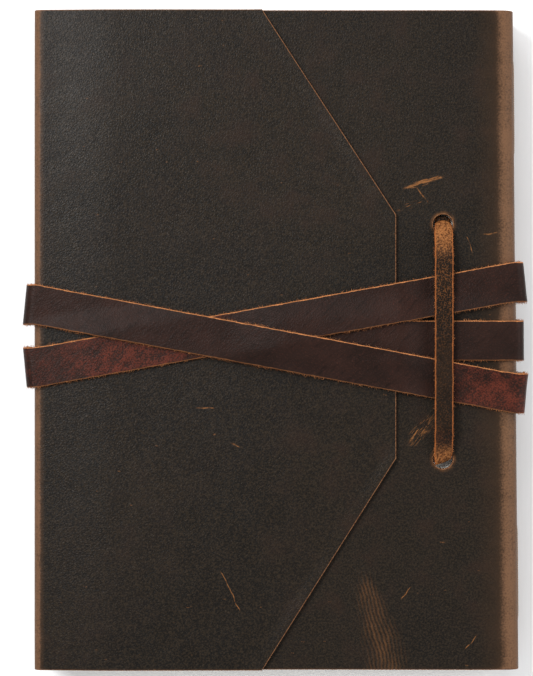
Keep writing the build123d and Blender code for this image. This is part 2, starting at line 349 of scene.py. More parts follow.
class Finish:
    """A material with one Principled shader, mixed from procedural nodes."""

    def __init__(self, name, **constants):
        self.material = bpy.data.materials.new(name)
        self.material.use_nodes = True
        self.tree = self.material.node_tree
        self.shader = self.tree.nodes["Principled BSDF"]
        for title, number in constants.items():
            self.shader.inputs[title.replace("_", " ")].default_value = number

    def node(self, kind, settings=None, inputs=None, out=0):
        """Adds a node, sets its settings, then its inputs' numbers or links, and gives back one output."""
        made = self.tree.nodes.new(kind)
        for title, setting in (settings or {}).items():
            setattr(made, title, setting)
        for title, value in (inputs or {}).items():
            if isinstance(value, Value):
                self.tree.links.new(value.socket, made.inputs[title])
            else:
                made.inputs[title].default_value = value
        return Value(self, made.outputs[out])

    def attribute(self, title, out="Fac"):
        return self.node("ShaderNodeAttribute", {"attribute_name": title}, out=out)

    def noise(self, place, size, detail=3.0, roughness=0.55, stretch=None):
        """Noise between 0 and 1 in lumps of about size metres; stretch makes them longer along an axis."""
        if stretch:
            place = self.node("ShaderNodeMapping", {}, {"Vector": place, "Scale": stretch})
        return self.node("ShaderNodeTexNoise", {},
                         {"Vector": place, "Scale": 1 / size, "Detail": detail, "Roughness": roughness})

    def cells(self, place, size, feature="DISTANCE_TO_EDGE", out=0):
        """Voronoi cells of about size metres: the distance to their edges, or another feature."""
        return self.node("ShaderNodeTexVoronoi", {"feature": feature},
                         {"Vector": place, "Scale": 1 / size}, out)

    def mix(self, share, first, second):
        """The first colour where share is 0 and the second where it is 1."""
        return self.node("ShaderNodeMix", {"data_type": "RGBA"}, {0: share, 6: first, 7: second}, 2)

    def axes(self, place):
        """The three numbers of a vector."""
        made = self.node("ShaderNodeSeparateXYZ", {}, {0: place}).socket.node
        return [Value(self, made.outputs[k]) for k in range(3)]

    def bump(self, height, depth, under=None):
        """A Normal from a height between 0 and 1 that stands for depth metres."""
        inputs = {"Height": height, "Strength": 1.0, "Distance": depth}
        if under is not None:
            inputs["Normal"] = under
        return self.node("ShaderNodeBump", {}, inputs)

    def done(self, **links):
        """Links values to the shader's sockets and returns the material."""
        for title, value in links.items():
            self.tree.links.new(value.socket, self.shader.inputs[title.replace("_", " ")])
        return self.material


def colour(red, green, blue):
    """A screen colour from 0 to 255 as the linear colour that a shader takes."""
    screen = np.array([red, green, blue]) / 255
    linear = np.where(screen > 0.04045, ((screen + 0.055) / 1.055) ** 2.4, screen / 12.92)
    return (*linear.tolist(), 1.0)


# %% [markdown]
# ## The hide's finish
# Waxed pull-up leather is nearly black-brown, with a fine pebble and a soft gloss. Where it is bent or
# rubbed the wax moves and the brown of the hide shows, so the folds are lighter. Cut edges are tan, and the
# flesh side is a brown nap. The grain is a Voronoi net under fine noise, and the rubbed places are masks
# worked out from where a point lies, broken up by noise so that they don't look painted. The wrinkled patch
# near the tail is tinted tan, most on its crests: partly wear, partly a painted highlight.

# %% Scratches and rubbed places


def line_mark(finish, x, y, start, end, width):
    """1 on the straight line from start to end, fading over width, broken where a noise is low. The distance
    is that of the point from the line, and 'along' keeps the mark between its two ends."""
    start, end = np.array(start) * mm, np.array(end) * mm
    way = end - start
    length = float(np.hypot(*way))
    way = way / length
    along = (x - float(start[0])) * float(way[0]) + (y - float(start[1])) * float(way[1])
    beside = (x - float(start[0])) * float(-way[1]) + (y - float(start[1])) * float(way[0])
    place = finish.attribute("place", "Vector")
    strayed = beside + (finish.noise(place, 6 * mm, 2.0) - 0.5) * (2.4 * mm)
    beside = strayed.maths("ABSOLUTE", strayed)
    broken = finish.noise(place, 1.6 * mm, 3.0).rise(0.3, 0.62) * 0.75
    inside = along.rise(-0.8 * mm, 0.4 * mm) * (1 - along.rise(length - 0.4 * mm, length + 0.8 * mm))
    return (1 - beside.rise(width * 0.3 * mm, width * mm)) * inside * broken


def patch(x, y, centre, size, spread=1.0, turn=0.0):
    """1 in the middle of an ellipse of half sizes in mm, turned by an angle in degrees, 0 past its edge."""
    c, s = float(np.cos(np.radians(turn))), float(np.sin(np.radians(turn)))
    right, ahead = x - centre[0] * mm, y - centre[1] * mm
    across = (right * c + ahead * s) / (size[0] * mm)
    up = (ahead * c - right * s) / (size[1] * mm)
    return 1 - (across * across + up * up).rise(0.15, spread)


def brushed(finish, turn):
    """Noise drawn out into streaks of about 3 mm by 0.4 mm at an angle in degrees."""
    rotation = (0, 0, float(np.radians(turn)))
    turned = finish.node("ShaderNodeMapping", {"vector_type": "TEXTURE"},
                         {"Vector": finish.attribute("place", "Vector"), "Rotation": rotation})
    return finish.noise(turned, 0.7 * mm, 4.0, 0.6, (0.25, 1.5, 1.0))


scratches = [                           # start, end and width in mm
    ((42.6, 49.6), (54.6, 53.6), 0.42), ((46.2, 49.2), (49.8, 45.4), 0.25),
    ((68.6, 34.4), (72.4, 35.0), 0.3), ((63.0, 33.5), (64.8, 28.0), 0.2),
    ((-25.6, -22.4), (-20.4, -22.6), 0.22), ((-14.0, -33.5), (-12.0, -34.6), 0.25),
    ((-17.5, -76.0), (-12.0, -88.0), 0.2), ((62.0, -101.0), (65.0, -97.0), 0.2),
    ((41.5, -84.5), (43.8, -81.2), 0.2),
]


def hide_finish():
    """Grain side, flesh side and cut edge in one material, chosen by the point's own attributes."""
    hide = Finish("waxed_hide", IOR=1.45, Specular_IOR_Level=0.14)
    place = hide.attribute("place", "Vector")
    gap, flesh, fold = (hide.attribute(t) for t in ("cut_gap", "flesh", "fold_wear"))
    x, y, _ = hide.axes(place)
    clouds, blots = hide.noise(place, 60 * mm), hide.noise(place, 9 * mm, 4.0)
    specks, grit = hide.noise(place, 0.6 * mm, 3.0, 0.6), hide.noise(place, 1.6 * mm, 4.0, 0.65)
    pebble = hide.cells(place, 0.8 * mm)
    creases = hide.noise(place, 3.2 * mm, 5.0, 0.7, (1.0, 0.55, 1.0))
    tone = hide.mix(clouds.rise(0.35, 0.68), colour(18, 15, 12), colour(25, 20, 15))
    tone = hide.mix(specks.rise(0.4, 0.72) * 0.6, tone, colour(52, 42, 31))
    tone = hide.mix((1 - specks.rise(0.3, 0.5)) * 0.55, tone, colour(10, 8, 7))
    warm = (blots.rise(0.45, 0.75) * clouds.rise(0.45, 0.62)) * 0.45
    tone = hide.mix(warm, tone, colour(40, 25, 17))
    brown = (fold * (0.55 + blots * 0.7 + (grit - 0.5) * 0.6)).rise(0.05, 0.5)
    tone = hide.mix(brown * 0.75, tone, colour(50, 35, 23))
    rubbed = (fold * (0.6 + blots * 0.5 + (specks - 0.5) * 0.9)).rise(0.4, 0.98)
    tone = hide.mix(rubbed, tone, colour(102, 73, 52))
    scuff_and_crest_highlight = patch(x, y, (47.4, -29.8), (7.2, 2.6), 1.2, 49) * brushed(hide, 49).rise(0.5, 0.68)
    scrape = patch(x, y, (44.2, 43.8), (5.2, 1.5), 1.2, 19) * brushed(hide, 19).rise(0.56, 0.7)
    scuff_and_crest_highlight = scuff_and_crest_highlight.high(scrape * 0.6)
    scrape = patch(x, y, (48.4, 51.6), (6.8, 1.1), 1.2, 17) * brushed(hide, 17).rise(0.45, 0.62)
    scuff_and_crest_highlight = scuff_and_crest_highlight.high(scrape * 0.9)
    # the wrinkles' tan follows their ridge height: wear where the wax moves, and a painted highlight on the crests
    ridge = hide.attribute("ridge")
    scuff_and_crest_highlight = scuff_and_crest_highlight.high(ridge.rise(0.12, 1.2) * (0.15 + grit * 1.1) * 0.42)
    for centre in hole_centres:
        round_hole = patch(x, y, centre / mm, (4.7, 4.7), 1.0)
        scuff_and_crest_highlight = scuff_and_crest_highlight.high(round_hole * (0.5 + grit * 1.1).rise(0.75, 1.3) * 0.9)
    for start, end, width in scratches:
        scuff_and_crest_highlight = scuff_and_crest_highlight.high(line_mark(hide, x, y, start, end, width))
    flecks = hide.noise(place, 1.7 * mm, 1.0, 0.4, (0.45, 1.3, 1.0)).rise(0.765, 0.8)
    scuff_and_crest_highlight = scuff_and_crest_highlight.high(flecks * specks.rise(0.45, 0.6) * 0.3)
    tone = hide.mix(scuff_and_crest_highlight * 0.85, tone, colour(142, 92, 50))
    nap = hide.noise(place, 0.5 * mm, 5.0, 0.7)
    suede = hide.mix(nap.rise(0.3, 0.7), colour(76, 52, 37), colour(112, 82, 59))
    suede = hide.mix(clouds.rise(0.4, 0.7) * 0.5, suede, colour(66, 46, 34))
    tone = hide.mix(flesh.rise(0.6, 0.95), tone, suede)
    fibrous = hide.noise(place, 0.5 * mm, 3.0)
    cut = hide.mix(fibrous.rise(0.35, 0.7), colour(84, 50, 30), colour(158, 112, 76))
    frayed = 1 - (gap + (fibrous - 0.5) * (0.3 * mm)).rise(0.0, 0.14 * mm)
    tone = hide.mix(frayed * 0.85, tone, cut)
    rough = 0.38 + (blots - 0.5) * 0.2 + rubbed * 0.12 + flesh * 0.45 + frayed * 0.25 + (0.5 - specks) * 0.2
    height = pebble.rise(0.0, 0.32) * 0.5 + creases * 0.6 + specks * 0.5 + nap * flesh * 0.8
    normal = hide.bump(height, 0.055 * mm, hide.bump(blots, 0.12 * mm))
    return hide.done(Base_Color=tone, Roughness=rough.low(0.95).high(0.25), Normal=normal)


hide_leather = hide_finish()
print("nodes in the hide's finish:", len(hide_leather.node_tree.nodes))

# %% [markdown]
# ## The hide
# One hide goes all the way round, made as three pieces that meet where nobody looks: half-way up the fore
# edge and under the back cover. The flap turns over the upper fore-edge fold, the back over the lower one,
# and the front round the spine. All three take their marks from the same resting place in space, so the
# grain runs on over the joins.

# %% Profiles of the folded hide
fine, coarse = 0.35 * mm, 1.6 * mm      # grid steps near an edge and in the open
fold_worn = (1.4 * mm, 3.6 * mm)        # wear fades between these distances from the fore edge
spine_worn = (71.5 * mm, 75.5 * mm)     # it grows between these places beside the spine
spine_haze = (60 * mm, 74 * mm)         # and a fainter haze between these
ridge_height = 0.22 * mm


def run(start, end, step):
    """Points from start to end in (x, z), evenly spaced by about step, without the last one."""
    start, end = np.array(start, float), np.array(end, float)
    count = max(2, int(np.ceil(np.linalg.norm(end - start) / step)))
    return start + (end - start) * (np.arange(count) / count)[:, None]


def bend(centre, radius, first, last, count=8):
    """Points on an arc from angle first to last in degrees, without the last one: centre + radius * (cos a,
    sin a)."""
    angle = np.radians(np.linspace(first, last, count, endpoint=False))
    return np.array(centre) + radius * np.stack([np.cos(angle), np.sin(angle)], -1)


def in_space(profile):
    """A profile in (x, z) as points with y = 0."""
    profile = np.vstack(profile)
    return np.stack([profile[:, 0], np.zeros(len(profile)), profile[:, 1]], -1)


def edge_lines(length, step=coarse):
    """Lines from -1 to 1 across a strip, closer together near both cut edges."""
    near = np.array([0, 0.15, 0.35, 0.7, 1.3]) * mm
    inner = np.linspace(-length / 2 + 2.2 * mm, length / 2 - 2.2 * mm, int(length / step))
    return np.r_[-length / 2 + near, inner, length / 2 - near[::-1]] / (length / 2)


def hide_piece(name, made, holes=()):
    """A hide piece: its marks come from its resting place, and it is settled last."""
    quads, caps = strip_faces(made)
    rest = made["points"].reshape(-1, 3)
    gap, flesh = made["gap"].ravel(), made["flesh"].ravel()
    faces = quads.reshape(-1, 4).tolist()
    if holes:
        rest, gap, flesh, faces = punch(made, rest, gap, flesh, quads, holes)
    x, y, z = rest.T
    grain_side = 1 - smooth(flesh, 0.2, 0.6)
    fold = 1 - smooth(x + half_width, *fold_worn)
    fold = fold + 0.62 * smooth(x, *spine_worn) + 0.38 * smooth(x, *spine_haze)
    fold = np.clip(fold + 0.3 * np.exp(-((half_height - np.abs(y)) / (0.8 * mm)) ** 2), 0, 1) * grain_side
    ridge = wrinkles(x, y) * grain_side * (z > cover_z)
    moved = settle(rest)
    moved[:, 2] += lifted_edge(name, x, y) + ridge_height * ridge
    index = np.arange(made["gap"].size).reshape(made["gap"].shape)
    sharp = [index[end] for end, cut in zip((0, -1), made["raw"]) if not cut]
    marks = {"place": rest, "cut_gap": gap, "flesh": flesh, "fold_wear": fold, "ridge": ridge}
    piece = make_piece(name, moved, faces + caps, hide_leather, marks, sharp)
    return piece


def wrinkles(x, y):
    """Ridges on the front cover near the tail, 1.25 mm apart and slanting with y. Their phase is bent and
    their height broken by sums of sines, and they stand under a bell curve that widens towards the tail."""
    down = smooth(-y, 70 * mm, 108 * mm)
    middle = (27.6 + 9.0 * smooth(-y, 66 * mm, 112 * mm)) * mm
    wide = (3.4 + 4.2 * down) * mm
    bent = x - 1.05 * middle + 0.1 * mm * np.sin(y / (0.45 * mm) + x / (1.9 * mm))
    bent = bent + 0.13 * mm * np.sin(y / (1.3 * mm) + x / (2.3 * mm))
    bent = bent + 0.3 * mm * np.sin(y / (4.7 * mm) - x / (3.1 * mm))
    comb = 0.3 + 0.7 * (0.5 + 0.5 * np.sin(2 * np.pi * bent / (1.25 * mm))) ** 1.2
    broken = 0.85 + 0.15 * np.sin(y / (2.3 * mm) + 2.0 * np.sin(x / (1.3 * mm)))
    return comb * broken * np.exp(-((x - middle) / wide) ** 2) * smooth(-y, 70 * mm, 84 * mm)


def lifted_edge(name, x, y):
    """The flap's slanted edges stand up a little, unevenly, where the strap doesn't hold them."""
    if name != "flap_hide":
        return np.zeros_like(x)
    reach = np.where(y > 0, tip_ends[1] + (tip_x - x) * 1.53, -tip_ends[0] + (tip_x - x) * 1.585)
    taper_start = tip_x - flap_taper
    near = smooth(np.abs(y) - reach, -9 * mm, 0) * smooth(x, taper_start - 14 * mm, taper_start)
    return near * smooth(np.abs(y), 26 * mm, 40 * mm) * (0.2 + 0.12 * np.sin(y / (8 * mm))) * mm


print("profile steps", fine / mm, "to", coarse / mm, "mm")

# %% [markdown]
# ## Punched holes
# The keeper goes through two round holes in the front cover. A Boolean would leave ragged faces, so the
# grid itself gives way: the quads in a square round each hole go, and rings lead from the square's edge to
# the circle, round its lip, through the leather and back to the square on the other face.

# %% Cut round holes into a grid
hole_radius = 3.25 * mm
hole_square = 5.0 * mm                  # half the side of the square that gives way
rings_out = (0.25, 0.5, 0.72, 0.88)     # rings on a face, as shares of the way from the square to the circle


def hole_rings(square, centre):
    """Rings from a square loop (n, 2) to the circle and through the leather. A ring is square + share *
    (circle - square) on each face, and radius + lip * (1 - sin(a)^q) at height cos(a)^q between them."""
    way = unit(square - centre)
    turn = np.pi * np.arange(0, 9) / 8
    lip = cut_round * (1 - np.sin(turn) ** squareness)
    up = np.sign(np.cos(turn)) * np.abs(np.cos(turn)) ** squareness
    rim = [centre + way * (hole_radius + d) for d in lip]
    flat = [square + s * (rim[0] - square) for s in rings_out]
    plan = np.array(flat + rim + flat[::-1])
    face = np.ones(len(rings_out))
    level = np.r_[face, up, -face]
    return plan, level


def punch(made, rest, gap, flesh, quads, holes):
    """Takes out the quads of each square on both faces and adds the rings. A hole is (first row, last row,
    first line, last line, centre)."""
    columns = made["gap"].shape[1]
    under = 2 * made["lines"] + edge_steps - 2
    keep = np.ones(quads.shape[:2], bool)
    added, new_gap, new_flesh, new_faces = [], [], [], []
    count = len(rest)
    for i0, i1, j0, j1, centre in holes:
        keep[i0:i1, j0:j1] = False
        keep[i0:i1, under - j1:under - j0] = False
        along, beside = np.arange(i0, i1), np.arange(j0, j1)
        loop = np.r_[i0 * columns + beside, along * columns + j1,
                     i1 * columns + beside[::-1] + 1, along[::-1] * columns + columns + j0]
        row, line = np.divmod(loop, columns)
        below = row * columns + under - line
        plan, level = hole_rings(rest[loop][:, :2], centre)
        z = np.broadcast_to((cover_z + level * leather / 2)[:, None], plan.shape[:2])
        added.append(np.concatenate([plan, z[..., None]], -1).reshape(-1, 3))
        new_gap.append((np.linalg.norm(plan - centre, axis=-1) - hole_radius - cut_round).clip(0).ravel())
        new_flesh.append(np.broadcast_to(((1 - level) / 2)[:, None], plan.shape[:2]).ravel())
        ring = count + np.arange(len(plan) * len(loop)).reshape(-1, len(loop))
        new_faces.append(ring_quads(np.vstack([loop, ring, below])).reshape(-1, 4))
        count += ring.size
    faces = np.vstack([quads[keep], *new_faces]).tolist()
    return (np.vstack([rest, *added]), np.r_[gap, np.concatenate(new_gap)],
            np.r_[flesh, np.concatenate(new_flesh)], faces)


print("holes of", 2 * hole_radius / mm, "mm")

# %% [markdown]
# ### The flap
# Its path starts at the tip, runs to the fore edge, turns down over the fold and ends half-way down the
# panel. The slanted sides are straight lines, so the half width is a straight function of x.

# %% Make the flap
panel_split = (upper_z + lower_z) / 2
flap_path = in_space([
    run((tip_x - cut_round, upper_z), (tip_x - 2 * mm, upper_z), fine),
    run((tip_x - 2 * mm, upper_z), (tip_x - flap_taper, upper_z), coarse * 0.8),
    run((tip_x - flap_taper, upper_z), (corner_x + fold_bend, upper_z), coarse),
    bend((corner_x + fold_bend, upper_z - fold_bend), fold_bend, 90, 180),
    run((corner_x, upper_z - fold_bend), (corner_x, panel_split), 1.2 * mm),
    [[corner_x, panel_split]],
])
in_taper = np.clip((flap_path[:, 0] - (tip_x - flap_taper)) / flap_taper, 0, 1)
top_y = half_height + (tip_ends[1] - half_height) * in_taper
bottom_y = -half_height + (tip_ends[0] + half_height) * in_taper
slant = np.where(in_taper > 0, np.cos(np.arctan2(half_height - tip_ends[1], flap_taper)), 1.0)
flap_strip = strip(flap_path, (top_y - bottom_y) / 2, leather, edge_lines(2 * half_height),
                   lip=cut_round / slant, middle=(top_y + bottom_y) / 2, slant=slant, raw=(True, False))
flap_hide = hide_piece("flap_hide", flap_strip)

# %% [markdown]
# ### The back and the front
# The back takes over half-way down the fore edge and runs under the book. The front starts there, goes
# round both corners of the spine and over the paper, and ends inside the flap. Its lines are set so that
# the hole squares and the wrinkled place get the rows they need.

# %% Make the back and the front
back_join = half_width - 19 * mm        # where the back ends and the front starts, under the book
wrinkle_y = -66 * mm                    # rows are fine from here to the tail
wrinkle_x = (45 * mm, 18 * mm)          # and between these two places
back_path = in_space([
    run((corner_x, panel_split), (corner_x, lower_z + fold_bend), 1.2 * mm),
    bend((corner_x + fold_bend, lower_z + fold_bend), fold_bend, 180, 270),
    run((corner_x + fold_bend, lower_z), (back_join, lower_z), 2 * mm),
    [[back_join, lower_z]],
])
hide_lines = edge_lines(2 * half_height)
back_hide = hide_piece("back_hide", strip(back_path, half_height, leather, hide_lines, raw=(False, False)))

fine_y = np.arange(-half_height + 3 * mm, wrinkle_y, 0.6 * mm)
near_edge = np.array([0, 0.15, 0.35, 0.7, 1.3, 2.2]) * mm
hole_y = [np.linspace(c[1] - hole_square, c[1] + hole_square, 11) for c in hole_centres]
between = [(wrinkle_y, hole_y[0][0]), (hole_y[0][-1], hole_y[1][0]),
           (hole_y[1][-1], half_height - 3 * mm)]
coarse_y = [np.linspace(a, b, int((b - a) / coarse) + 2)[1:-1] for a, b in between]
edge_y = (cut_round - half_height + near_edge, half_height - cut_round - near_edge)
y_lines = np.unique(np.round(np.concatenate([*edge_y, fine_y, *hole_y, *coarse_y, [wrinkle_y]]), 7))
hole_x = np.linspace(keeper_x + hole_square, keeper_x - hole_square, 11)
front_path = in_space([
    run((back_join, lower_z), (spine_x - spine_bend, lower_z), 2 * mm),
    bend((spine_x - spine_bend, lower_z + spine_bend), spine_bend, 270, 360, 10),
    run((spine_x, lower_z + spine_bend), (spine_x, cover_z - spine_bend), 0.6 * mm),
    bend((spine_x - spine_bend, cover_z - spine_bend), spine_bend, 0, 90, 10),
    run((spine_x - spine_bend, cover_z), (hole_x[0], cover_z), 1.4 * mm),
    np.stack([hole_x, np.full(11, cover_z)], -1),
    run((hole_x[-1] - 1.2 * mm, cover_z), (wrinkle_x[0], cover_z), 1.2 * mm),
    run((wrinkle_x[0], cover_z), (wrinkle_x[1], cover_z), 0.3 * mm),
    run((wrinkle_x[1], cover_z), (cover_edge + cut_round + 2 * mm, cover_z), 2.2 * mm),
    run((cover_edge + cut_round + 2 * mm, cover_z), (cover_edge + cut_round, cover_z), fine),
    [[cover_edge + cut_round, cover_z]],
])
front_strip = strip(front_path, half_height, leather, y_lines / (half_height - cut_round), raw=(False, True))
hole_rows = [int(np.argmin(np.abs(front_path[:, 0] - x) + (front_path[:, 2] < hinge_z)))
             for x in hole_x[[0, -1]]]
hole_lines = [[int(np.argmin(np.abs(y_lines - y))) for y in ys[[0, -1]]] for ys in hole_y]
front_hide = hide_piece("front_hide", front_strip,
                        [(*hole_rows, *ends, centre) for ends, centre in zip(hole_lines, hole_centres)])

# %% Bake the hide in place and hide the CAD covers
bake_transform(flap_hide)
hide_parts("flap", "fore_edge_panel")
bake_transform(back_hide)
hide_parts("back_cover")
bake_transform(front_hide)
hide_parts("front_cover")

# %% [markdown]
# ## The wrap strap
# One strap, nearly a metre long, is sewn to the flap and wound three times over the front. Its path is a
# rounded loop, three times round, slanting a little from side to side as the CAD runs do. Its height over
# the front isn't part of the path: each point is lifted by how much of the flap and of the earlier runs
# lies under it, so the strap tilts and steps where it crosses itself, as real leather does.

# %% The strap's runs, from the CAD boxes
strap_width = 13.0 * mm
rise_low, rise_high = corners("strap_rising_wrap")
fall_low, fall_high = corners("strap_falling_wrap")
fixed_low, fixed_high = corners("strap_fixed_end")
tail_low, tail_high = corners("strap_tail")
side_x = rise_high[0]
strap_thick = tail_high[2] - tail_low[2]
side_middle = side_x - strap_thick / 2


def half_across(low, high):
    """Half a run's width along y. It grows with the run's slant."""
    rise, length = high[1] - low[1] - strap_width, high[0] - low[0]
    return strap_width / 2 * np.hypot(1, rise / length)


fixed_y = (fixed_low[1] + fixed_high[1]) / 2
rise_half, fall_half, tail_half = (half_across(*corners(n)) for n in
                                   ("strap_rising_wrap", "strap_falling_wrap", "strap_tail"))
rising = (rise_low[1] + rise_half, rise_high[1] - rise_half)
falling = (fall_high[1] - fall_half, fall_low[1] + fall_half)
tail_end = (tail_low[0], tail_low[1] + tail_half)
print("runs in mm: fixed", round(fixed_y / mm, 1), "rising", np.round(np.array(rising) / mm, 1),
      "falling", np.round(np.array(falling) / mm, 1))

# %% Lay the strap round the book
strap_bend = 2.3 * mm
step_over, step_along = 9 * mm, 22 * mm  # a run climbs on to another's edge and its end over these lengths
layer = strap_thick + 0.1 * mm
low_level = cover_top + 0.1 * mm + strap_thick / 2


def height_at(run_y, x):
    """y of a run's middle at x: a straight line between its values at the two sides."""
    return run_y[0] + (run_y[1] - run_y[0]) * (x + side_x) / (2 * side_x)


def climb(x, y, run_y, half, start=-1.0):
    """1 on the ground that another run covers, easing to 0 at step_over beyond its edges and step_along
    beyond its end."""
    beside = (np.abs(y - height_at(run_y, x)) - half) / step_over
    before = (start - x) / step_along
    return smooth(-np.maximum(beside, before), -1, 0)


def straight(x_from, x_to, y_from, y_to, z_from, z_to, step=0.8 * mm):
    """A straight run in space without its last point."""
    a, b = np.array([x_from, y_from, z_from]), np.array([x_to, y_to, z_to])
    count = int(np.ceil(np.linalg.norm(b - a) / step))
    return a + (b - a) * (np.arange(count) / count)[:, None]


def corner(x, y, z, first, last):
    """A rounded corner in the (x, z) plane round the point (x, z), without its last point."""
    arc = bend((x, z), strap_bend, first, last, 7)
    return np.stack([arc[:, 0], np.full(len(arc), y), arc[:, 1]], -1)


def lap(front_left, front_right, back_left, start_x=None, last=None):
    """Over the front to the spine side, down and under the book, to where the next lap starts."""
    inner, top, foot = side_middle - strap_bend, low_level - strap_bend, strap_thick / 2 + strap_bend
    begin = -inner if start_x is None else start_x
    parts = [] if start_x is not None else [
        straight(-side_middle, -side_middle, front_left, front_left, foot, top),
        corner(-inner, front_left, top, 180, 90)]
    parts += [straight(begin, inner, front_left, front_right, low_level, low_level),
              corner(inner, front_right, top, 90, 0),
              straight(side_middle, side_middle, front_right, front_right, top, foot),
              corner(inner, front_right, foot, 0, -90)]
    end_x, end_y = (-inner, back_left) if last is None else last
    parts.append(straight(inner, end_x, front_right, end_y, strap_thick / 2, strap_thick / 2))
    if last is None:
        parts.append(corner(-inner, back_left, foot, -90, -180))
    return parts


strap_path = np.vstack([
    *lap(fixed_y, fixed_y, rising[0], start_x=fixed_low[0] + cut_round),
    *lap(rising[0], rising[1], falling[0]),
    *lap(falling[0], falling[1], None, last=(tail_end[0] + cut_round, tail_end[1])),
])
strap_length = float(np.linalg.norm(np.diff(strap_path, axis=0), axis=1).sum())
print("strap length", round(strap_length, 3), "m in", len(strap_path), "rows")

# %% [markdown]
# The path goes over the front towards the spine, so the cross-section is carried with its width along -y to
# have its outer face up. A slanting run keeps a little of its slant where it goes round the side, so one
# corner of its end stands further out than the other.

# %% Lift the strap over the flap and over itself
flare = 0.55                            # share of a run's slant that its end shows at the side
strap_lines = np.array([-1, -0.97, -0.92, -0.8, -0.6, -0.35, -0.1, 0.1, 0.35, 0.6, 0.8, 0.92, 0.97, 1])
going_up = np.flatnonzero((np.abs(strap_path[:-1, 0] + side_middle) < 1e-6) & (strap_path[:-1, 2] < 6 * mm)
                            & (np.diff(strap_path[:, 2]) > 0))
lap_starts = going_up[np.r_[True, np.diff(going_up) > 50]]
lap_number = np.searchsorted(lap_starts, np.arange(len(strap_path)), side="right")
lap_number = np.pad(lap_number, len(end_turns), mode="edge")[:, None]


def ragged(rows, seed, size):
    """An uneven cut: noise along both edges, a moving mean over three rows of normal numbers times size."""
    rough = np.random.default_rng(seed).normal(size=(rows + 2, 2))
    return (rough[:-2] + rough[1:-1] + rough[2:]) / 3 * size


def roughen(made, sideways, size, seed):
    """Moves the points of a strip's cut edges in and out along 'sideways' by ragged()."""
    rim = smooth(made["gap"], 0.5 * mm, 0.0)
    left = made["place"][..., 1] < 0
    out = ragged(len(rim), seed, size)
    push = np.where(left, -out[:, :1], out[:, 1:]) * rim
    made["points"] += push[..., None] * np.array(sideways)


strap = strip(strap_path, strap_width / 2 * 1.004, strap_thick, strap_lines, across=(0, -1, 0))
x, y, z = (strap["points"][..., k] for k in range(3))
over_fixed = climb(x, y, (fixed_y, fixed_y), strap_width / 2, fixed_low[0])
over_rising = climb(x, y, rising, rise_half)
on_flap = smooth(-x, -tip_x - 11.5 * mm, -tip_x - 0.2 * mm)
lift = (leather + 0.1 * mm) * on_flap
lift = lift + layer * over_fixed * (lap_number > 0) + layer * over_rising * (lap_number > 1)
strap["points"][..., 2] += lift * smooth(z, strap_thick, cover_top - 2 * mm)
slopes = np.array([0.0, rising[1] - rising[0], falling[1] - falling[0]]) / (2 * side_x)
slope = slopes[np.clip(lap_number, 0, 2)]
at_side = smooth(np.abs(x), side_x - 9 * mm, side_middle) * smooth(z, 3 * mm, 16 * mm)
strap["points"][..., 0] += flare * at_side * (slope * strap["place"][..., 1]
                                              + np.sign(x) * np.abs(slope) * strap_width / 2)
roughen(strap, (0, -1, 0), 0.05 * mm, 11)
highest = float(strap["points"][..., 2].max())
print("laps start at rows", lap_starts, "highest point", round(highest / mm, 2), "mm")

# %% [markdown]
# ### The strap's finish
# The strap is a thinner, redder piece of the same leather. Its face has fine slanting creases, it shows
# rust-red where it has been rubbed, and its knife-cut edges are tan and slightly furry. The edges that face
# the head are lighter as a painted highlight, the others darker brown as painted shade.

# %% The strap's finish


